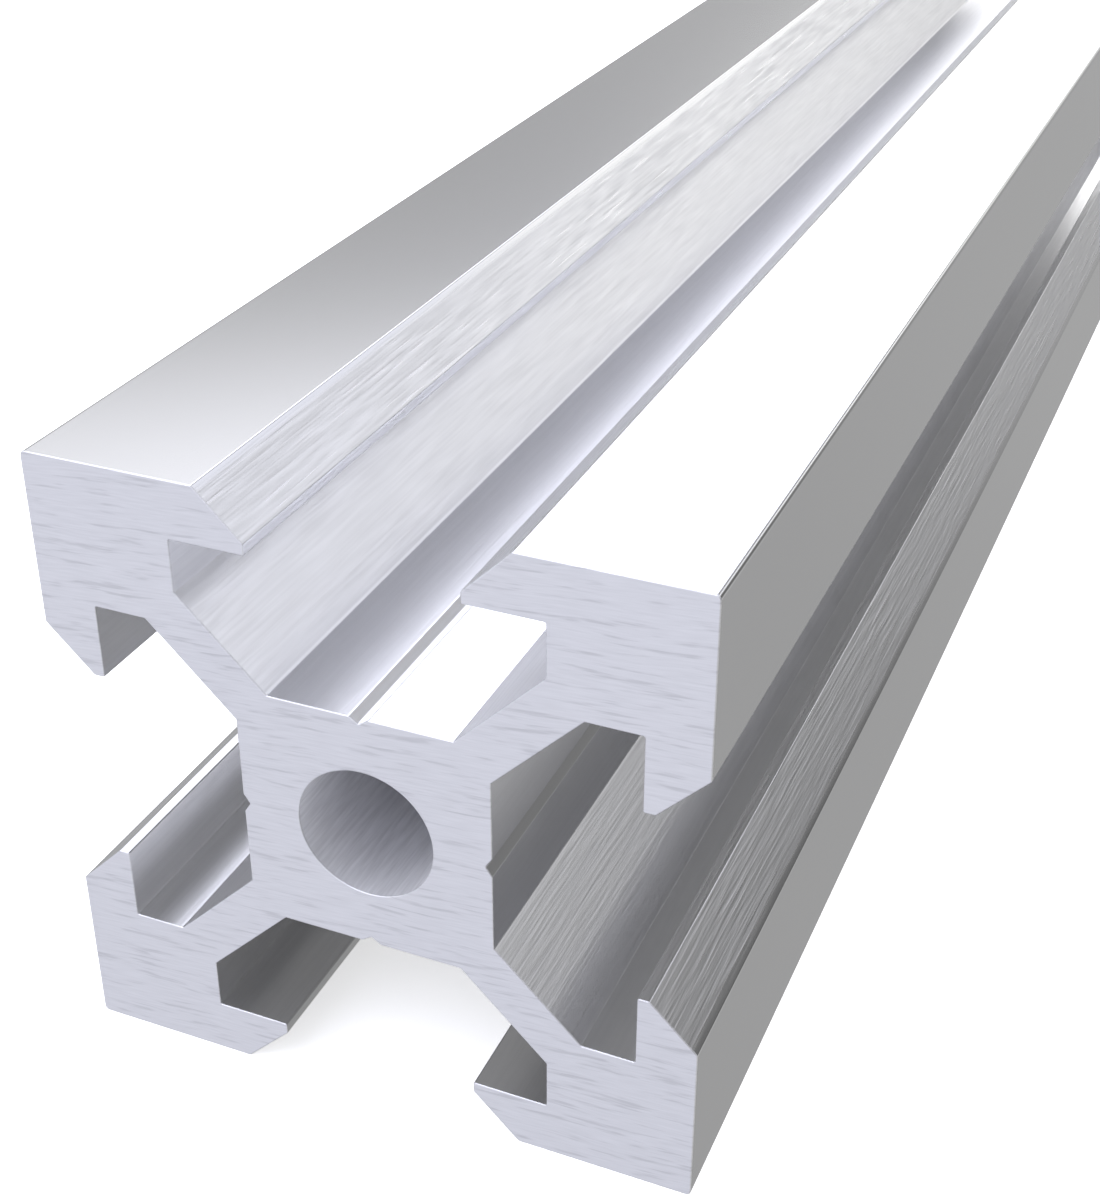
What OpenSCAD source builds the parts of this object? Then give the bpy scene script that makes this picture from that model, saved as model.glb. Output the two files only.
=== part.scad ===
// Square T-slot aluminium extrusion: one bar with a T-slot in each side, whose mouth is bevelled,
// and a round bore through its core. The bar lies on one side along Y, and the origin is the middle
// of its footprint. All sizes are in millimetres.

/* [Bar] */
// Side of the square section
side = 20; // [17:0.5:30]
// Cut length of the bar
length = 100; // [50:10:3000]
// Radius along the four outer corners
corner_r = 0.15; // [0.05:0.05:1]

/* [T-slots] */
// Width of a slot's mouth at the outer face
mouth_w = 9.2; // [7:0.05:9.6]
// Width of the neck, the narrowest place between a slot's two lips
neck_w = 6.3; // [5.8:0.05:7]
// Thickness of the lips
lip_t = 1.8; // [1.5:0.1:2.4]
// Height of the straight land at a lip's edge, between its bevel and its underside
land_h = 0.35; // [0.1:0.05:1]
// Width of the chamber behind the lips
chamber_w = 11; // [9:0.1:12]

/* [Core] */
// Side of the square core
core_w = 7.8; // [6.5:0.1:9.4]
// Thickness of the four diagonal webs between the core and the corners
web_t = 1.5; // [1:0.1:2.2]
// Diameter of the bore through the core
bore_d = 4.2; // [3.3:0.1:5.1]
// Width of the centring groove along each slot's floor
groove_w = 0.6; // [0.3:0.05:0.8]
// Depth of the centring groove
groove_d = 0.2; // [0.1:0.05:0.3]

/* [Hidden] */

$fn = 96;
overcut = 1;                     // how far a cut runs past the surface that it opens
bare_aluminium = [0.82, 0.83, 0.87];

face_y = side / 2;               // outer face, from the section's centre
lip_y = face_y - lip_t;          // underside of the lips
land_y = lip_y + land_h;         // where a lip's land meets its bevel
floor_y = core_w / 2;            // floor of a slot, which is a face of the core
web_offset = web_t / sqrt(2);    // from a web's middle plane to its face, measured along Y

// The square bar with its rounded corners, before anything is left out of it.
module blank() {
    flat_w = side - 2 * corner_r;
    square([side, flat_w], center = true);
    square([flat_w, side], center = true);
    for (x = [-1, 1], y = [-1, 1])
        translate([x * flat_w / 2, y * flat_w / 2]) circle(corner_r);
}

// The bevelled mouth of the upper slot, from the outer face in to the lands.
module mouth() {
    polygon([
        [-mouth_w / 2, face_y], [-mouth_w / 2, face_y + overcut],
        [mouth_w / 2, face_y + overcut], [mouth_w / 2, face_y],
        [neck_w / 2, land_y], [-neck_w / 2, land_y]
    ]);
}

// The neck of the upper slot, between the lands of its lips.
module neck() {
    translate([-neck_w / 2, lip_y]) square([neck_w, land_h]);
}

// The chamber of the upper slot: above the core, under the lips and between two webs.
module chamber() {
    intersection() {
        translate([-chamber_w / 2, floor_y]) square([chamber_w, lip_y - floor_y]);
        polygon([[0, web_offset], [side, web_offset + side], [-side, web_offset + side]]);
    }
}

// The shallow groove along the upper slot's floor, which centres a drill.
module groove() {
    polygon([
        [-groove_w / 2, floor_y + overcut], [groove_w / 2, floor_y + overcut],
        [groove_w / 2, floor_y], [0, floor_y - groove_d], [-groove_w / 2, floor_y]
    ]);
}

// All that the die leaves out of the blank: the four slots and the bore.
module hollows() {
    for (turn = [0 : 90 : 270])
        rotate(turn) {
            mouth();
            neck();
            chamber();
            groove();
        }
    circle(d = bore_d);
}

// The extruded bar, cut square at both ends.
module profile() {
    color(bare_aluminium)
        translate([0, length / 2, side / 2])
            rotate([90, 0, 0])
                linear_extrude(length)
                    difference() {
                        blank();
                        hollows();
                    }
}

profile();
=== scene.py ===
"""Square T-slot aluminium extrusion: the bar's looks and a small studio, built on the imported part.

The file is laid out as an add-on and is run as a script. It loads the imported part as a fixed
frame, makes the bar as one swept surface with its own finishes, and sets floor, lights and camera.
"""

import math

import bpy
import numpy as np
from mathutils import Matrix, Vector


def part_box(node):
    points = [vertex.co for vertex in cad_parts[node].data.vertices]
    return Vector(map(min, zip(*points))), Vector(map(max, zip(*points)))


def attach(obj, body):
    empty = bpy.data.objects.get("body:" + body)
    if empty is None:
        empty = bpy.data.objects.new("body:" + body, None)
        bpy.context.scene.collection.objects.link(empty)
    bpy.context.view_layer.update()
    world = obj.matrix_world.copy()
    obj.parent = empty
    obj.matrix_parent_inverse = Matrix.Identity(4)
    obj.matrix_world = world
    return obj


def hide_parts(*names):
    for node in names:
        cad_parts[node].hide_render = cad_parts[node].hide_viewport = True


bl_info = {
    "name": "T-slot extrusion",
    "version": (1, 0, 0),
    "blender": (4, 5, 0),
    "location": "3D View > Sidebar > Extrusion",
    "description": "Makes a square T-slot aluminium bar with its cut ends, and a pale studio",
    "category": "Object",
}

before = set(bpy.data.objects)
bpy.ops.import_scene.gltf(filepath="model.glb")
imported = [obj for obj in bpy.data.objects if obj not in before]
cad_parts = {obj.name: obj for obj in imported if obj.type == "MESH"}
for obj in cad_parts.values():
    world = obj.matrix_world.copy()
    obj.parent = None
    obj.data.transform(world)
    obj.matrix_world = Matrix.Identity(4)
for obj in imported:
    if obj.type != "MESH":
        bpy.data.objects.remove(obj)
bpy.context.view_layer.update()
LOW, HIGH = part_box("profile")
MM = 0.001

# How finely the bar's mesh is cut up: corners in a quarter of the section, steps in each small
# rounding, sides of the bore, spans along the bar and flat sectors in each cut end.
CORNERS = 16
STEPS = 4
BORE_SIDES = 96
SPANS = 36
SECTORS = 8

# The bar's material slots, in order.
SKIN, SAWN, BORE = range(3)

# The colour of the slightly cooler part of the light.
COOL = "#E9ECFF"


def linear(hex_colour):
    """An sRGB hex colour as linear red, green and blue."""
    values = np.array([int(hex_colour[i : i + 2], 16) for i in (1, 3, 5)]) / 255
    return tuple(np.where(values <= 0.04045, values / 12.92, ((values + 0.055) / 1.055) ** 2.4))


# ---------------------------------------------------------------------------- settings


def length_setting(name, description, millimetres):
    return bpy.props.FloatProperty(
        name=name,
        description=description,
        default=millimetres * MM,
        min=0.0,
        precision=5,
        unit="LENGTH",
        subtype="DISTANCE",
    )


class BarSizes(bpy.types.PropertyGroup):
    """The section of the bar, its length and how far its edges are rounded."""

    side: bpy.props.FloatProperty(
        name="Side",
        description="Width and height of the bar",
        default=HIGH.x - LOW.x,
        precision=5,
        unit="LENGTH",
        subtype="DISTANCE",
    )
    length: bpy.props.FloatProperty(
        name="Length",
        description="Length of the bar between its cut ends",
        default=HIGH.y - LOW.y,
        precision=4,
        unit="LENGTH",
        subtype="DISTANCE",
    )
    mouth: length_setting("Mouth", "Width across the slot's bevels at the outer face", 9.2)
    neck: length_setting("Neck", "Narrowest width of the slot", 6.3)
    lip: length_setting("Lip", "Thickness of the lip beside the slot", 1.8)
    chamber: length_setting("Chamber", "Width of the slot behind its lips", 11.0)
    core: length_setting("Core", "Width of the square core", 7.8)
    web: length_setting("Web", "Thickness of the four diagonal webs", 1.5)
    bore: length_setting("Bore", "Diameter of the hole through the core", 4.2)
    groove: length_setting("Groove", "Width of the centring groove in each slot's floor", 0.6)
    groove_depth: length_setting("Groove depth", "Depth of the centring groove", 0.2)
    corner: length_setting("Corner radius", "Radius of the four outer edges", 0.15)
    nose: length_setting("Lip nose radius", "Radius between the bevel and the straight neck", 0.07)
    edge: length_setting("Edge radius", "Radius that the die leaves on the other edges", 0.06)
    burr: length_setting("Deburring", "How far the edges of a cut end are rounded", 0.036)


class FinishColours(bpy.types.PropertyGroup):
    """The colours and gloss of the extruded sides and of the sawn ends."""

    skin: bpy.props.FloatVectorProperty(
        name="Extruded side",
        description="Colour of the satin sides",
        default=linear("#E4E4E5"),
        size=3,
        min=0.0,
        max=1.0,
        subtype="COLOR",
    )
    cut: bpy.props.FloatVectorProperty(
        name="Sawn end",
        description="Colour of the freshly sawn ends",
        default=linear("#E2E2E4"),
        size=3,
        min=0.0,
        max=1.0,
        subtype="COLOR",
    )
    gloss: bpy.props.FloatProperty(
        name="Side roughness",
        description="Roughness of the smooth parts of the sides",
        default=0.16,
        min=0.05,
        max=1.0,
        subtype="FACTOR",
    )


class StudioSettings(bpy.types.PropertyGroup):
    """The floor's colour and the strength of the light."""

    floor: bpy.props.FloatVectorProperty(
        name="Floor",
        description="Colour of the plain floor",
        default=linear("#FAFAFA"),
        size=3,
        min=0.0,
        max=1.0,
        subtype="COLOR",
    )
    sky: bpy.props.FloatProperty(
        name="Room light",
        description="Brightness of the pale room around the bar",
        default=0.385,
        min=0.0,
    )
    # Painted shade: how bright the glowing sheet under the bar is, which the metal mirrors in place
    # of the floor's shadow.
    shade: bpy.props.FloatProperty(
        name="Shade under the bar",
        description="Brightness of the floor under the bar, as the metal mirrors it",
        default=0.34,
        min=0.0,
    )
    box: bpy.props.FloatProperty(
        name="Soft boxes",
        description="Brightness of the long soft boxes above the bar",
        default=1.7,
        min=0.0,
    )


# ---------------------------------------------------------------------------- the bar's shape


def slot_corners(s):
    """The section's corners, counter-clockwise as seen from the near end, with x across and z up.

    One quarter runs from an outer corner over the top to the next: outer face, bevel, land, lip,
    chamber wall, web, core, groove, and the same mirrored, without its two end points. It is
    turned by 0, 90, 180 and 270 degrees. The bevel is at 45 degrees, and so is the web, which
    lies half its thickness from the diagonal.
    """
    face = s.side / 2
    lip = face - s.lip
    web = s.web / math.sqrt(2)
    core = s.core / 2
    half = np.array(
        [
            (face, face),
            (s.mouth / 2, face),
            (s.neck / 2, face - (s.mouth - s.neck) / 2),
            (s.neck / 2, lip),
            (s.chamber / 2, lip),
            (s.chamber / 2, s.chamber / 2 + web),
            (core - web, core),
            (s.groove / 2, core),
            (0.0, core - s.groove_depth),
        ]
    )
    quarter = np.concatenate([half, half[-2:0:-1] * (-1, 1)])
    turn = np.arange(4) * math.pi / 2
    rotation = np.stack([np.cos(turn), np.sin(turn), -np.sin(turn), np.cos(turn)], -1)
    return np.einsum("ci,kij->kcj", quarter, rotation.reshape(4, 2, 2)).reshape(-1, 2)


def rounded_outline(corners, radius, guard):
    """A closed polygon with each corner replaced by an arc, and the outward normal at each point.

    Each corner has its own radius. The arc touches both sides at radius / tan(half the corner's
    angle) from the corner, and is swept in equal angles. A guard point on each side, a little
    beyond the arc's ends, keeps the flat faces truly flat when the surface is shaded smooth.
    """
    before = np.roll(corners, 1, 0) - corners
    after = np.roll(corners, -1, 0) - corners
    before /= np.linalg.norm(before, axis=1, keepdims=True)
    after /= np.linalg.norm(after, axis=1, keepdims=True)
    half = np.arccos(np.clip((before * after).sum(1), -1, 1)) / 2
    turn = np.sign(after[:, 0] * before[:, 1] - after[:, 1] * before[:, 0])[:, None]
    middle = before + after
    middle /= np.linalg.norm(middle, axis=1, keepdims=True)
    centre = corners + middle * (radius / np.sin(half))[:, None]
    touch = (radius / np.tan(half))[:, None]
    start = corners + before * touch - centre
    angle = np.arctan2(start[:, 1], start[:, 0])[:, None]
    sweep = turn * (math.pi - 2 * half)[:, None] * np.linspace(0, 1, STEPS + 1)
    ray = np.stack([np.cos(angle + sweep), np.sin(angle + sweep)], -1)
    arc = centre[:, None] + radius[:, None, None] * ray
    normal = ray * turn[..., None]
    first = corners + before * (touch + guard)
    last = corners + after * (touch + guard)
    points = np.concatenate([first[:, None], arc, last[:, None]], 1)
    normals = np.concatenate([normal[:, :1], normal, normal[:, -1:]], 1)
    return points.reshape(-1, 2), normals.reshape(-1, 2)


def sweep_stations(length, guard):
    """Where the section's rings stand along the bar, for a bar that runs along y.

    Each ring has a base y, and a share of the deburring radius to add to y and to move the
    outline inwards: a quarter circle of rings at each end, one guard ring on the cut face, one on
    the side, and even spans between.
    """
    angle = np.linspace(0, math.pi / 2, STEPS + 1)
    inset = np.concatenate([[1.0], 1 - np.sin(angle), [0.0]])
    along = np.concatenate([[0.0], 1 - np.cos(angle), [1.0]])
    extra_in = np.zeros_like(along)
    extra_in[0] = guard
    base = np.zeros_like(along)
    base[-1] = guard
    middle = np.linspace(0, 1, SPANS + 1)[1:-1] * length
    zero = np.zeros_like(middle)
    y = np.concatenate([base, middle, length - base[::-1]]) - length / 2
    add_y = np.concatenate([along, zero, -along[::-1]])
    add_in = np.concatenate([inset, zero, inset[::-1]])
    guard_in = np.concatenate([extra_in, zero, extra_in[::-1]])
    return y, add_y, add_in, guard_in


def sweep(points, normals, burr, stations):
    """The surface P(station, point): the outline at the station's y, moved inwards by its share
    of the deburring radius at that point. Returns positions as (stations, points, 3)."""
    y, add_y, add_in, guard_in = (v[:, None] for v in stations)
    inwards = add_in * burr + guard_in
    flat = points[None] - normals[None] * inwards[..., None]
    return np.stack([flat[..., 0], y + add_y * burr, flat[..., 1]], -1)


def grid_faces(rings, count, first):
    """Quads between neighbouring rings of a closed outline, facing out."""
    ring = np.arange(rings - 1)[:, None] * count + first
    here = np.arange(count)
    there = (here + 1) % count
    quads = [ring + here, ring + count + here, ring + count + there, ring + there]
    return np.stack(quads, -1).reshape(-1, 4)


def end_faces(outer, inner):
    """Flat faces between the outline and the bore: one for each sector, its outer run taken
    forwards and its inner run backwards. outer and inner are vertex numbers in order."""
    wide = len(outer) // SECTORS
    slim = len(inner) // SECTORS
    outer = np.append(outer, outer[0])
    inner = np.append(inner, inner[0])
    starts = np.arange(SECTORS)[:, None]
    forwards = outer[starts * wide + np.arange(wide + 1)]
    backwards = inner[starts * slim + np.arange(slim, -1, -1)]
    return np.concatenate([forwards, backwards], 1)


def hand_filed(points, burr):
    """The deburring radius around an outline: its mean, made a little uneven by three sine waves
    of the arc length, because a cut end is deburred by hand. The waves are given as how many go
    round the outline, where they start, and how much each counts."""
    step = np.linalg.norm(np.roll(points, -1, 0) - points, axis=1)
    share = 2 * math.pi * np.concatenate([[0.0], np.cumsum(step)[:-1]]) / step.sum()
    waves = ((23, 0.7, 0.5), (41, 2.1, 0.3), (67, 0.0, 0.2))
    most = 0.3
    uneven = sum(part * np.sin(count * share + start) for count, start, part in waves)
    return burr * (1 + most * uneven)


def bar_mesh(s):
    """The closed surface of the bar: outside and bore as swept strips, ends as flat sectors.

    The bar lies along y on one side, with the middle of its footprint at the origin. Both
    strips start on the diagonal through the first outer corner, so their sectors match.
    """
    guard = 0.012 * MM
    corners = slot_corners(s)
    place = np.arange(len(corners)) % CORNERS
    outer_edge = place == 0
    nose = (place == 2) | (place == CORNERS - 2)
    radius = np.select([outer_edge, nose], [s.corner, s.nose], s.edge)
    outline, outward = rounded_outline(corners, radius, guard)
    to_diagonal = -(STEPS // 2 + 1)
    outline = np.roll(outline, to_diagonal, 0)
    outward = np.roll(outward, to_diagonal, 0)
    turns = math.pi / 4 + np.arange(BORE_SIDES) / BORE_SIDES * 2 * math.pi
    ray = np.stack([np.cos(turns), np.sin(turns)], -1)
    stations = sweep_stations(s.length, guard)
    outside = sweep(outline, outward, hand_filed(outline, s.burr), stations)
    bore = sweep(ray * s.bore / 2, -ray, np.full(BORE_SIDES, s.burr), stations)
    rings, count = outside.shape[:2]
    lift = np.array([0, 0, s.side / 2])
    points = np.concatenate([outside.reshape(-1, 3), bore.reshape(-1, 3)]) + lift

    # Vertex numbers: the outside's rings from the near end, then the bore's.
    outer_ring, bore_ring = np.arange(count), rings * count + np.arange(BORE_SIDES)
    skin = grid_faces(rings, count, 0)
    wall = grid_faces(rings, BORE_SIDES, rings * count)[:, ::-1]
    near = end_faces(outer_ring, bore_ring)
    to_far = rings - 1
    far = end_faces(outer_ring + to_far * count, bore_ring + to_far * BORE_SIDES)[:, ::-1]
    faces = skin.tolist() + wall.tolist() + near.tolist() + far.tolist()

    # The flat ends and their deburred edges have the saw's finish, and the rest the die's.
    ring = np.arange(rings - 1)
    rounding = STEPS + 2
    drawn = (ring >= rounding) & (ring < rings - 1 - rounding)
    finish = np.concatenate(
        [
            np.where(drawn, SKIN, SAWN).repeat(count),
            np.where(drawn, BORE, SAWN).repeat(BORE_SIDES),
            np.full(2 * SECTORS, SAWN),
        ]
    )
    mesh = bpy.data.meshes.new("extruded_bar")
    mesh.from_pydata(points, [], faces)
    mesh.polygons.foreach_set("use_smooth", np.ones(len(faces), bool))
    mesh.polygons.foreach_set("material_index", finish.astype(np.int32))
    mesh.update()
    return mesh


# ---------------------------------------------------------------------------- finishes


def add_node(tree, kind, sockets=(), **settings):
    """One shader node: its settings by name, then (socket, value or other node's output) pairs."""
    made = tree.nodes.new(kind)
    for name, value in settings.items():
        setattr(made, name, value)
    for socket, value in sockets:
        if isinstance(value, bpy.types.NodeSocket):
            tree.links.new(value, made.inputs[socket])
        else:
            made.inputs[socket].default_value = value
    return made


def new_material(name):
    """An empty node material and its tree."""
    material = bpy.data.materials.new(name)
    material.use_nodes = True
    material.node_tree.nodes.clear()
    return material, material.node_tree


def per_mm(across, along, upright):
    """The mapping scale that makes one noise cell this many millimetres in x, y and z."""
    return tuple(1 / (size * MM) for size in (across, along, upright))


def extruded_skin(colours, s):
    """Extruded aluminium, satin, as it leaves the die.

    The die drags fine lines along the whole length, and handling leaves short lengthwise
    scuffs, so the metal looks brushed along y. The outer flats, which the run-out table
    smooths, are almost free of them. The bevels have them in full, the webs about half, and the
    chambers and the core's faces, which nothing touches, about a third.
    """
    flats_share, webs_share, chambers_share, core_share = 0.03, 0.55, 0.35, 0.3
    side = s.side
    material, tree = new_material("extruded_aluminium_satin")
    place = add_node(tree, "ShaderNodeTexCoord").outputs["Object"]
    # Patches of 3 by 6 mm where the streaks are stronger or half wiped away. The same noise
    # makes every streak wander sideways by a few hundredths of a millimetre.
    patch_at = add_node(tree, "ShaderNodeMapping", [("Vector", place), ("Scale", per_mm(3, 6, 3))])
    patches = add_node(
        tree,
        "ShaderNodeTexNoise",
        [("Vector", patch_at.outputs[0]), ("Scale", 1.0), ("Detail", 2.0)],
    )
    wander = add_node(
        tree,
        "ShaderNodeVectorMath",
        [(0, patches.outputs["Color"]), (1, (0.12 * MM, 0, 0.12 * MM)), (2, place)],
        operation="MULTIPLY_ADD",
    ).outputs[0]
    # Die lines: 0.09 mm wide, and 12 mm long before they fade.
    lines_at = add_node(
        tree, "ShaderNodeMapping", [("Vector", wander), ("Scale", per_mm(0.09, 12, 0.09))]
    )
    lines = add_node(
        tree,
        "ShaderNodeTexNoise",
        [("Vector", lines_at.outputs[0]), ("Scale", 1.0), ("Detail", 1.0), ("Roughness", 0.6)],
    ).outputs[0]
    # Scuffs: 0.13 mm wide and 2.4 mm long, as short bright dashes.
    dashes_at = add_node(
        tree, "ShaderNodeMapping", [("Vector", wander), ("Scale", per_mm(0.13, 2.4, 0.13))]
    )
    dashes = add_node(
        tree,
        "ShaderNodeTexNoise",
        [("Vector", dashes_at.outputs[0]), ("Scale", 1.0), ("Detail", 1.0)],
    ).outputs[0]
    # The outer flats are the points whose x or z lies at the outer face.
    split = add_node(tree, "ShaderNodeSeparateXYZ", [(0, place)])
    x_out = add_node(tree, "ShaderNodeMath", [(0, split.outputs[0])], operation="ABSOLUTE")
    z_mid = add_node(
        tree, "ShaderNodeMath", [(0, split.outputs[2]), (1, side / 2)], operation="SUBTRACT"
    )
    z_out = add_node(tree, "ShaderNodeMath", [(0, z_mid.outputs[0])], operation="ABSOLUTE")
    out = add_node(
        tree, "ShaderNodeMath", [(0, x_out.outputs[0]), (1, z_out.outputs[0])], operation="MAXIMUM"
    )
    inner = add_node(
        tree,
        "ShaderNodeMapRange",
        [
            ("Value", out.outputs[0]),
            ("From Min", side / 2 - 0.03 * MM),
            ("From Max", side / 2 - 0.25 * MM),
            ("To Min", flats_share),
            ("To Max", 1.0),
        ],
        interpolation_type="SMOOTHSTEP",
    ).outputs[0]
    patch_range = add_node(
        tree,
        "ShaderNodeMapRange",
        [
            ("Value", patches.outputs[0]),
            ("From Min", 0.36),
            ("From Max", 0.64),
            ("To Min", 0.5),
            ("To Max", 0.85),
        ],
    ).outputs[0]
    # How far a point lies from the bar's middle, as a share of half its side. It runs over the
    # core's faces, the webs, the chambers up to the inside of the lips, then the bevels. One
    # finish turns into the next within two edges of 0.04 mm each.
    half = add_node(
        tree, "ShaderNodeMath", [(0, out.outputs[0]), (1, side / 2)], operation="DIVIDE"
    ).outputs[0]
    reach = add_node(tree, "ShaderNodeValToRGB", [(0, half)])
    edge = 0.004
    core = s.core / side
    wall = (s.chamber + s.web * math.sqrt(2)) / side
    lip = 1 - 2 * s.lip / side
    stops = reach.color_ramp.elements
    stops[0].position = core + edge
    stops[0].color = (core_share, core_share, core_share, 1.0)
    stops[1].position = lip + 2 * edge
    stops[1].color = (1.0, 1.0, 1.0, 1.0)
    for position, share in (
        (core + 3 * edge, webs_share),
        (wall - edge, webs_share),
        (wall + edge, chambers_share),
        (lip + edge, chambers_share),
    ):
        stops.new(position).color = (share, share, share, 1.0)
    worn = add_node(
        tree, "ShaderNodeMath", [(0, inner), (1, reach.outputs[0])], operation="MULTIPLY"
    ).outputs[0]
    strength = add_node(
        tree, "ShaderNodeMath", [(0, worn), (1, patch_range)], operation="MULTIPLY"
    ).outputs[0]
    # The lines count for three fifths of what the dashes do, and the sum is centred on zero.
    lines_part = 0.6
    both = add_node(
        tree,
        "ShaderNodeMath",
        [(0, lines), (1, lines_part), (2, dashes)],
        operation="MULTIPLY_ADD",
    ).outputs[0]
    centred = add_node(
        tree,
        "ShaderNodeMapRange",
        [
            ("Value", both),
            ("From Min", 0.55),
            ("From Max", 1.05),
            ("To Min", -1.0),
            ("To Max", 1.0),
        ],
    ).outputs[0]
    streak = add_node(
        tree, "ShaderNodeMath", [(0, centred), (1, strength)], operation="MULTIPLY"
    ).outputs[0]
    shade = add_node(
        tree,
        "ShaderNodeMapRange",
        [
            ("Value", streak),
            ("From Min", -1.0),
            ("From Max", 1.0),
            ("To Min", 0.90),
            ("To Max", 1.10),
        ],
    ).outputs[0]
    # Painted light: the core's faces at the bottom of the slots are made a little brighter than the
    # rest of the skin, to lift these recessed faces. With the brightest streak on them their colour
    # still stays below white.
    painted_core_light = add_node(
        tree,
        "ShaderNodeMapRange",
        [
            ("Value", half),
            ("From Min", core + edge),
            ("From Max", core + 2 * edge),
            ("To Min", 1.17),
            ("To Max", 1.0),
        ],
    ).outputs[0]
    shade = add_node(
        tree, "ShaderNodeMath", [(0, shade), (1, painted_core_light)], operation="MULTIPLY"
    ).outputs[0]
    tint = add_node(
        tree,
        "ShaderNodeMix",
        [("Factor", 1.0), (6, (*colours.skin, 1.0)), (7, shade)],
        data_type="RGBA",
        blend_type="MULTIPLY",
    ).outputs[2]
    # The flats, which the run-out table polishes, mirror the room more sharply than the rest.
    rest_rough = colours.gloss + 0.15
    level = add_node(
        tree,
        "ShaderNodeMapRange",
        [
            ("Value", inner),
            ("From Min", flats_share),
            ("To Min", colours.gloss),
            ("To Max", rest_rough),
        ],
    ).outputs[0]
    # A bright streak is a little smoother than the metal round it.
    streak_rough = -0.06
    rough = add_node(
        tree,
        "ShaderNodeMath",
        [(0, streak), (1, streak_rough), (2, level)],
        operation="MULTIPLY_ADD",
    ).outputs[0]
    bump = add_node(
        tree,
        "ShaderNodeBump",
        [("Height", streak), ("Strength", 0.22), ("Distance", 0.014 * MM)],
    ).outputs[0]
    shader = add_node(
        tree,
        "ShaderNodeBsdfPrincipled",
        [("Base Color", tint), ("Metallic", 1.0), ("Roughness", rough), ("Normal", bump)],
    )
    add_node(tree, "ShaderNodeOutputMaterial", [("Surface", shader.outputs[0])])
    return material


def drawn_bore(colours):
    """The bore's wall: raw aluminium formed over the die's pin, never brushed or polished.

    It is dull with oxide and pick-up, so it scatters light like a matt paint with a metal
    sheen, in streaks along the bore.
    """
    material, tree = new_material("raw_aluminium_bore")
    place = add_node(tree, "ShaderNodeTexCoord").outputs["Object"]
    # Pick-up streaks: 0.12 mm wide and 1.5 mm long.
    streaks_at = add_node(
        tree, "ShaderNodeMapping", [("Vector", place), ("Scale", per_mm(0.12, 1.5, 0.12))]
    )
    streaks = add_node(
        tree,
        "ShaderNodeTexNoise",
        [("Vector", streaks_at.outputs[0]), ("Scale", 1.0), ("Detail", 2.0)],
    ).outputs[0]
    shade = add_node(
        tree,
        "ShaderNodeMapRange",
        [
            ("Value", streaks),
            ("From Min", 0.3),
            ("From Max", 0.7),
            ("To Min", 0.98),
            ("To Max", 1.16),
        ],
    ).outputs[0]
    tint = add_node(
        tree,
        "ShaderNodeMix",
        [("Factor", 1.0), (6, (*colours.cut, 1.0)), (7, shade)],
        data_type="RGBA",
        blend_type="MULTIPLY",
    ).outputs[2]
    bump = add_node(
        tree,
        "ShaderNodeBump",
        [("Height", streaks), ("Strength", 0.3), ("Distance", 0.012 * MM)],
    ).outputs[0]
    shader = add_node(
        tree,
        "ShaderNodeBsdfPrincipled",
        [("Base Color", tint), ("Metallic", 0.8), ("Roughness", 0.6), ("Normal", bump)],
    )
    add_node(tree, "ShaderNodeOutputMaterial", [("Surface", shader.outputs[0])])
    return material


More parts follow.
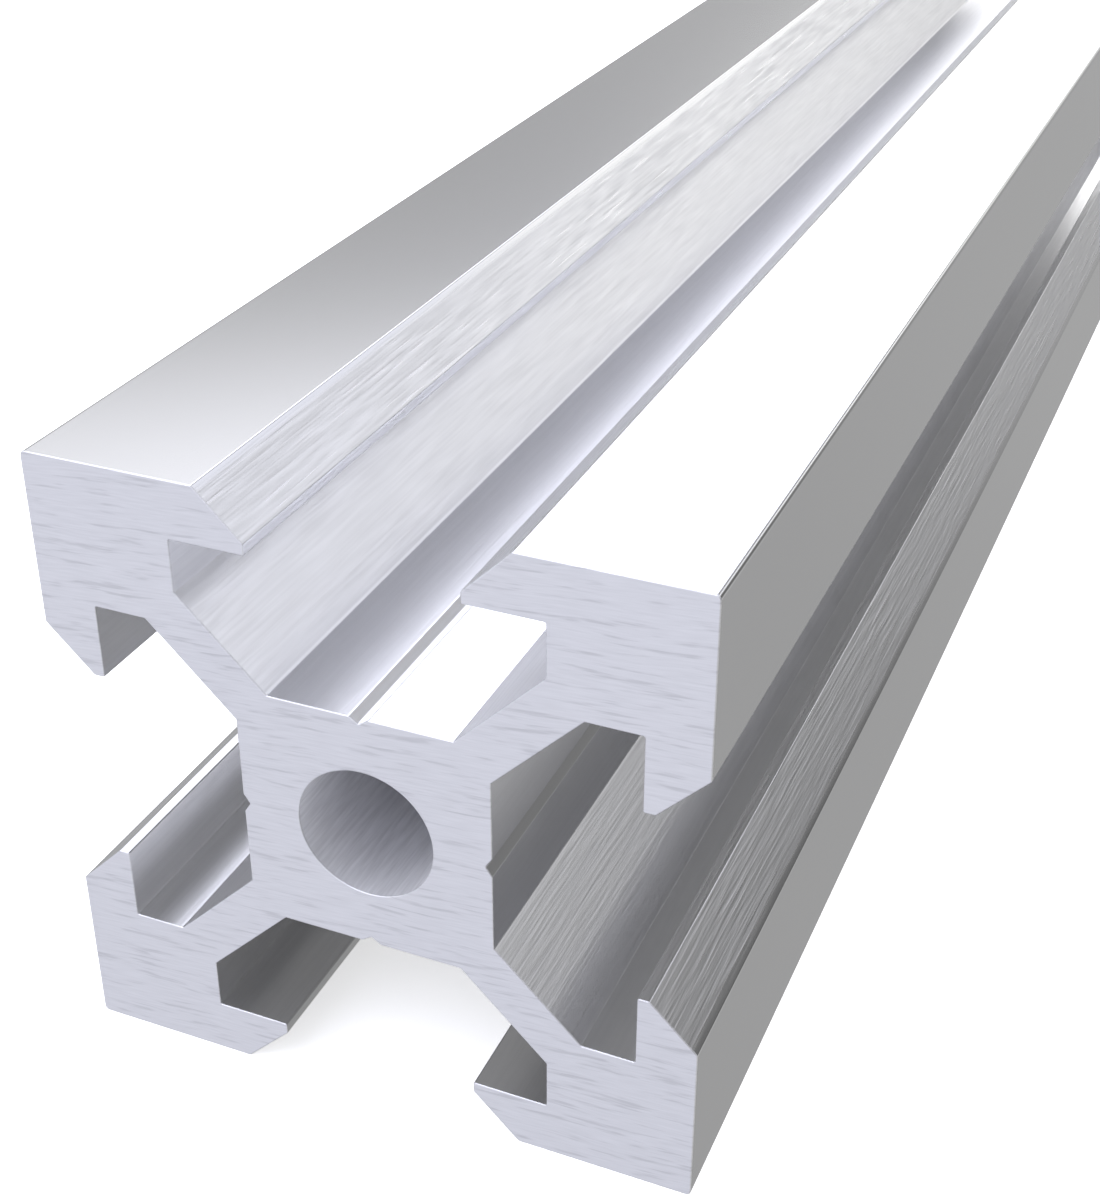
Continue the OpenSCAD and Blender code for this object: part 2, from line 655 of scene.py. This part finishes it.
def sawn_end(colours):
    """Aluminium cut by a fine saw and lightly deburred.

    The blade leaves slightly wavy, nearly level scores across the whole face, so it
    scatters light evenly and looks paler and cooler than the sides.
    """
    material, tree = new_material("sawn_aluminium_end")
    place = add_node(tree, "ShaderNodeTexCoord").outputs["Object"]
    # The blade went through a few degrees off level, and its teeth wander by less than 0.1 mm
    # every few millimetres.
    turned = add_node(
        tree, "ShaderNodeMapping", [("Vector", place), ("Rotation", (0, math.radians(4), 0))]
    ).outputs[0]
    sway_at = add_node(
        tree, "ShaderNodeMapping", [("Vector", turned), ("Scale", per_mm(2.6, 2.6, 1.4))]
    )
    sway = add_node(
        tree,
        "ShaderNodeTexNoise",
        [("Vector", sway_at.outputs[0]), ("Scale", 1.0), ("Detail", 0.0)],
    ).outputs[0]
    lift = add_node(tree, "ShaderNodeCombineXYZ", [(2, sway)]).outputs[0]
    wavy = add_node(
        tree,
        "ShaderNodeVectorMath",
        [(0, lift), (1, (0, 0, 0.2 * MM)), (2, turned)],
        operation="MULTIPLY_ADD",
    ).outputs[0]
    # Scores: 0.15 mm apart and about 1.8 mm long.
    scores_at = add_node(
        tree, "ShaderNodeMapping", [("Vector", wavy), ("Scale", per_mm(1.8, 1.8, 0.15))]
    )
    scores = add_node(
        tree,
        "ShaderNodeTexNoise",
        [("Vector", scores_at.outputs[0]), ("Scale", 1.0), ("Detail", 2.0), ("Roughness", 0.6)],
    ).outputs[0]
    # Finer scratches between them, 0.06 mm apart.
    fine_at = add_node(
        tree, "ShaderNodeMapping", [("Vector", wavy), ("Scale", per_mm(1.0, 1.0, 0.06))]
    )
    fine = add_node(
        tree,
        "ShaderNodeTexNoise",
        [("Vector", fine_at.outputs[0]), ("Scale", 1.0), ("Detail", 1.0)],
    ).outputs[0]
    dark = add_node(
        tree,
        "ShaderNodeMapRange",
        [
            ("Value", scores),
            ("From Min", 0.30),
            ("From Max", 0.46),
            ("To Min", 0.87),
            ("To Max", 1.0),
        ],
        interpolation_type="SMOOTHSTEP",
    ).outputs[0]
    glint = add_node(
        tree,
        "ShaderNodeMapRange",
        [
            ("Value", fine),
            ("From Min", 0.3),
            ("From Max", 0.7),
            ("To Min", 0.97),
            ("To Max", 1.03),
        ],
    ).outputs[0]
    shade = add_node(
        tree, "ShaderNodeMath", [(0, dark), (1, glint)], operation="MULTIPLY"
    ).outputs[0]
    tint = add_node(
        tree,
        "ShaderNodeMix",
        [("Factor", 1.0), (6, (*colours.cut, 1.0)), (7, shade)],
        data_type="RGBA",
        blend_type="MULTIPLY",
    ).outputs[2]
    rough = add_node(
        tree,
        "ShaderNodeMapRange",
        [
            ("Value", scores),
            ("From Min", 0.3),
            ("From Max", 0.7),
            ("To Min", 0.56),
            ("To Max", 0.44),
        ],
    ).outputs[0]
    bump = add_node(
        tree,
        "ShaderNodeBump",
        [("Height", scores), ("Strength", 0.25), ("Distance", 0.012 * MM)],
    ).outputs[0]
    shader = add_node(
        tree,
        "ShaderNodeBsdfPrincipled",
        [("Base Color", tint), ("Metallic", 1.0), ("Roughness", rough), ("Normal", bump)],
    )
    add_node(tree, "ShaderNodeOutputMaterial", [("Surface", shader.outputs[0])])
    return material


# ---------------------------------------------------------------------------- the studio


def light_table(colour):
    """Cast opal acrylic with a rubbed face, lit from below as on a product table.

    It glows evenly, so a shadow on it stays faint, and its grain is too faint to see.
    """
    material, tree = new_material("opal_acrylic_light_table")
    place = add_node(tree, "ShaderNodeTexCoord").outputs["Object"]
    grain_at = add_node(
        tree, "ShaderNodeMapping", [("Vector", place), ("Scale", per_mm(1.5, 1.5, 1.5))]
    )
    grain = add_node(
        tree,
        "ShaderNodeTexNoise",
        [("Vector", grain_at.outputs[0]), ("Scale", 1.0), ("Detail", 3.0)],
    ).outputs[0]
    shade = add_node(
        tree,
        "ShaderNodeMapRange",
        [
            ("Value", grain),
            ("From Min", 0.3),
            ("From Max", 0.7),
            ("To Min", 0.985),
            ("To Max", 1.0),
        ],
    ).outputs[0]
    tint = add_node(
        tree,
        "ShaderNodeMix",
        [("Factor", 1.0), (6, (*colour, 1.0)), (7, shade)],
        data_type="RGBA",
        blend_type="MULTIPLY",
    ).outputs[2]
    shader = add_node(
        tree,
        "ShaderNodeBsdfPrincipled",
        [
            ("Base Color", tint),
            ("Roughness", 0.95),
            ("Specular IOR Level", 0.1),
            ("Emission Color", (1.0, 1.0, 1.0, 1.0)),
            ("Emission Strength", 0.5),
        ],
    )
    add_node(tree, "ShaderNodeOutputMaterial", [("Surface", shader.outputs[0])])
    return material


def sweep_backdrop(colour):
    """The floor: a disc that curls up at its rim, turned about the z axis.

    The profile is flat to the foot of the curl and then a quarter circle, and each point
    is its radius turned through equal angles. Two rings inside the foot keep the faces small.
    """
    inner_rings, flat, curl, curl_steps, sides = (0.15, 0.6), 1.2, 0.8, 16, 128
    bend = np.linspace(0, math.pi / 2, curl_steps + 1)
    radius = np.concatenate([inner_rings, flat + curl * np.sin(bend)])
    height = np.concatenate([np.zeros(len(inner_rings)), curl * (1 - np.cos(bend))])
    turn = np.arange(sides) / sides * 2 * math.pi
    grid = np.stack(
        [
            radius[:, None] * np.cos(turn),
            radius[:, None] * np.sin(turn),
            np.broadcast_to(height[:, None], (len(radius), sides)),
        ],
        -1,
    )
    faces = grid_faces(len(radius), sides, 0).tolist() + [np.arange(sides).tolist()]
    mesh = bpy.data.meshes.new("backdrop")
    mesh.from_pydata(grid.reshape(-1, 3), [], faces)
    mesh.polygons.foreach_set("use_smooth", np.ones(len(faces), bool))
    mesh.update()
    mesh.materials.append(light_table(colour))
    backdrop = bpy.data.objects.new("backdrop", mesh)
    bpy.context.scene.collection.objects.link(backdrop)
    # The metal mirrors the softly lit room, so the floor stays out of its reflections.
    backdrop.visible_glossy = False


def painted_shade_strip(radiance):
    """Painted shade: a dim glowing sheet for the metal to mirror in place of the shaded floor under
    the bar.

    It is a flat sheet just under the floor's surface, as wide and long as the bar, and only
    reflections see it.
    """
    depth = -0.1 * MM
    points = [
        (LOW.x, LOW.y, depth),
        (HIGH.x, LOW.y, depth),
        (HIGH.x, HIGH.y, depth),
        (LOW.x, HIGH.y, depth),
    ]
    mesh = bpy.data.meshes.new("painted_shade_strip")
    mesh.from_pydata(points, [], [(0, 1, 2, 3)])
    # Painted shade: an even dim glow that the metal mirrors where the floor's shadow under the bar
    # would be.
    material, tree = new_material("painted_floor_shade")
    glow = add_node(tree, "ShaderNodeEmission", [("Strength", radiance)])
    add_node(tree, "ShaderNodeOutputMaterial", [("Surface", glow.outputs[0])])
    mesh.materials.append(material)
    strip = bpy.data.objects.new("painted_shade_strip", mesh)
    bpy.context.scene.collection.objects.link(strip)
    strip.visible_camera = strip.visible_diffuse = strip.visible_shadow = False


def soft_box(name, place, towards, size, radiance, colour):
    """A rectangular light whose face has the given radiance, wherever it stands.

    A one-sided area light of power P and area A has the radiance P / (pi A).
    """
    data = bpy.data.lights.new(name, "AREA")
    data.shape = "RECTANGLE"
    data.size, data.size_y = size
    data.energy = radiance * math.pi * size[0] * size[1]
    data.color = colour
    light = bpy.data.objects.new(name, data)
    away = (Vector(place) - Vector(towards)).normalized()
    across = Vector((0, 1, 0)).cross(away).normalized()
    upward = away.cross(across)
    facing = Matrix((across, upward, away)).transposed().to_4x4()
    light.matrix_world = Matrix.Translation(place) @ facing
    light.visible_camera = False
    bpy.context.scene.collection.objects.link(light)
    return light


def soft_boxes(radiance):
    """Five panels in one plane above the bar and parallel to it.

    The left pair is bright, the right pair dim, and a faint long panel stands beyond the right
    pair. The near panels are a little cooler. Each panel runs from one multiple of the height to
    another, sideways and lengthwise. A sixth, wide and high, lights the floor and isn't mirrored.
    """
    height = 0.40
    cool, neutral = linear(COOL), (1.0, 1.0, 1.0)
    for name, left, right, start, end, share, colour in (
        ("near_left", -0.78, 0.12, -1.5, 1.9, 1.10, cool),
        ("near_right", 0.70, 1.3, -1.5, 1.9, 0.44, cool),
        ("far_left", -0.80, 0.12, 1.9, 5.5, 1.10, neutral),
        ("far_right", 0.60, 1.3, 1.9, 5.5, 0.52, neutral),
        ("edge", 1.3, 2.1, -1.5, 5.5, 0.13, neutral),
    ):
        x, y = height * (left + right) / 2, height * (start + end) / 2
        size = (height * (right - left), height * (end - start))
        soft_box("soft_box_" + name, (x, y, height), (x, y, 0.0), size, radiance * share, colour)
    fill_height, fill_size, fill_radiance = 1.5, (3.0, 3.0), 0.5
    fill = soft_box(
        "floor_fill", (0, 0, fill_height), (0, 0, 0), fill_size, fill_radiance, neutral
    )
    fill.visible_glossy = False


def room_light(strength):
    """A pale room: brighter towards the upper left, in front of the bar and low on the right, a
    little brighter high on the right and straight behind, and dimmer level with the bar on the
    right and straight below.

    The strength is an even base and smooth ramps of the direction's x (0), y (1) and z (2). Each
    ramp goes from its first to its last value while the direction goes from start to stop. The
    upper left is the product of two ramps, and so is the front, whose light stays off the far
    right. On the right the low and the high ramp add up to one band. Two fifths of the upper
    left's light and all of the front's is a little cooler.
    """
    cool_part = 0.4
    world = bpy.data.worlds.new("pale_room")
    bpy.context.scene.world = world
    world.use_nodes = True
    tree = world.node_tree
    tree.nodes.clear()
    way = add_node(tree, "ShaderNodeTexCoord").outputs["Generated"]
    split = add_node(tree, "ShaderNodeSeparateXYZ", [(0, way)])
    ramps = {}
    for name, axis, start, stop, first, last in (
        ("up", 2, 0.35, 0.45, 0.0, 1.0),
        ("left", 0, -0.10, -0.45, 0.0, 2.35 * strength),
        ("front", 1, 0.0, -0.5, 0.0, 1.7 * strength),
        ("back", 1, 0.82, 0.98, 0.0, 0.12 * strength),
        ("right", 0, 0.28, 0.62, 0.0, strength),
        ("low", 2, -0.12, -0.42, -0.66, 1.2),
        ("high", 2, 0.24, 0.34, 0.0, 1.05),
        ("below", 2, -0.72, -0.95, 0.0, -0.55 * strength),
        ("ahead", 0, 0.60, 0.35, 0.0, 1.0),
    ):
        ramps[name] = add_node(
            tree,
            "ShaderNodeMapRange",
            [
                ("Value", split.outputs[axis]),
                ("From Min", start),
                ("From Max", stop),
                ("To Min", first),
                ("To Max", last),
            ],
            interpolation_type="SMOOTHSTEP",
        ).outputs[0]
    base = add_node(tree, "ShaderNodeMath", [(0, ramps["back"]), (1, strength)]).outputs[0]
    base = add_node(tree, "ShaderNodeMath", [(0, ramps["below"]), (1, base)]).outputs[0]
    band = add_node(tree, "ShaderNodeMath", [(0, ramps["low"]), (1, ramps["high"])]).outputs[0]
    front = add_node(
        tree, "ShaderNodeMath", [(0, ramps["front"]), (1, ramps["ahead"])], operation="MULTIPLY"
    ).outputs[0]
    glow = add_node(
        tree, "ShaderNodeMath", [(0, ramps["up"]), (1, ramps["left"])], operation="MULTIPLY"
    ).outputs[0]
    even = add_node(
        tree,
        "ShaderNodeMath",
        [(0, ramps["right"]), (1, band), (2, base)],
        operation="MULTIPLY_ADD",
    ).outputs[0]
    even = add_node(
        tree, "ShaderNodeMath", [(0, glow), (1, 1 - cool_part), (2, even)], operation="MULTIPLY_ADD"
    ).outputs[0]
    cool = add_node(
        tree, "ShaderNodeMath", [(0, glow), (1, cool_part), (2, front)], operation="MULTIPLY_ADD"
    ).outputs[0]
    room = add_node(tree, "ShaderNodeBackground", [("Color", (1, 1, 1, 1)), ("Strength", even)])
    near = add_node(
        tree,
        "ShaderNodeBackground",
        [("Color", (*linear(COOL), 1.0)), ("Strength", cool)],
    )
    both = add_node(tree, "ShaderNodeAddShader", [(0, room.outputs[0]), (1, near.outputs[0])])
    add_node(tree, "ShaderNodeOutputWorld", [("Surface", both.outputs[0])])


def place_camera():
    """A camera near the cut end, above and to its right, looking down along the bar."""
    place = tuple(value * MM for value in (21.52, -87.36, 42.63))
    tilt, heading = math.radians(59.68), math.radians(23.06)
    data = bpy.data.cameras.new("camera")
    data.lens = 57.39
    data.sensor_width = 36.0
    data.clip_start = 1 * MM
    camera = bpy.data.objects.new("camera", data)
    camera.location = place
    camera.rotation_euler = (tilt, 0.0, heading)
    bpy.context.scene.collection.objects.link(camera)
    bpy.context.scene.camera = camera


# ---------------------------------------------------------------------------- operators


class EXTRUSION_OT_bar(bpy.types.Operator):
    """Make the aluminium bar in place of the plain part"""

    bl_idname = "extrusion.bar"
    bl_label = "Make the bar"

    def execute(self, context):
        sizes = context.scene.bar_sizes
        colours = context.scene.finish_colours
        mesh = bar_mesh(sizes)
        mesh.materials.append(extruded_skin(colours, sizes))
        mesh.materials.append(sawn_end(colours))
        mesh.materials.append(drawn_bore(colours))
        bar = bpy.data.objects.new("extruded_bar", mesh)
        context.scene.collection.objects.link(bar)
        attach(bar, "root")
        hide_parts("profile")
        return {"FINISHED"}


class EXTRUSION_OT_studio(bpy.types.Operator):
    """Make the floor, the soft light and the camera"""

    bl_idname = "extrusion.studio"
    bl_label = "Make the studio"

    def execute(self, context):
        studio = context.scene.studio_settings
        sweep_backdrop(studio.floor)
        # Painted shade under the bar, seen only in reflections.
        painted_shade_strip(studio.shade)
        room_light(studio.sky)
        soft_boxes(studio.box)
        place_camera()
        context.scene.view_settings.view_transform = "Standard"
        # Light has to bounce many times to get out of the slots.
        context.scene.cycles.glossy_bounces = 10
        return {"FINISHED"}


class EXTRUSION_PT_panel(bpy.types.Panel):
    """Sizes, colours and the two steps that make the scene"""

    bl_label = "T-slot extrusion"
    bl_idname = "EXTRUSION_PT_panel"
    bl_space_type = "VIEW_3D"
    bl_region_type = "UI"
    bl_category = "Extrusion"

    def draw(self, context):
        for operator, group in (
            (EXTRUSION_OT_bar, context.scene.bar_sizes),
            (None, context.scene.finish_colours),
            (EXTRUSION_OT_studio, context.scene.studio_settings),
        ):
            column = self.layout.column(align=True)
            for name in group.__annotations__:
                column.prop(group, name)
            if operator:
                self.layout.operator(operator.bl_idname)


CLASSES = (
    BarSizes,
    FinishColours,
    StudioSettings,
    EXTRUSION_OT_bar,
    EXTRUSION_OT_studio,
    EXTRUSION_PT_panel,
)
SETTINGS = {
    "bar_sizes": BarSizes,
    "finish_colours": FinishColours,
    "studio_settings": StudioSettings,
}


def register():
    for kind in CLASSES:
        bpy.utils.register_class(kind)
    for name, group in SETTINGS.items():
        setattr(bpy.types.Scene, name, bpy.props.PointerProperty(type=group))


def unregister():
    for name in SETTINGS:
        delattr(bpy.types.Scene, name)
    for kind in reversed(CLASSES):
        bpy.utils.unregister_class(kind)


def main():
    """Registers everything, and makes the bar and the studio."""
    register()
    bpy.ops.extrusion.bar()
    bpy.ops.extrusion.studio()


if __name__ == "__main__":
    main()
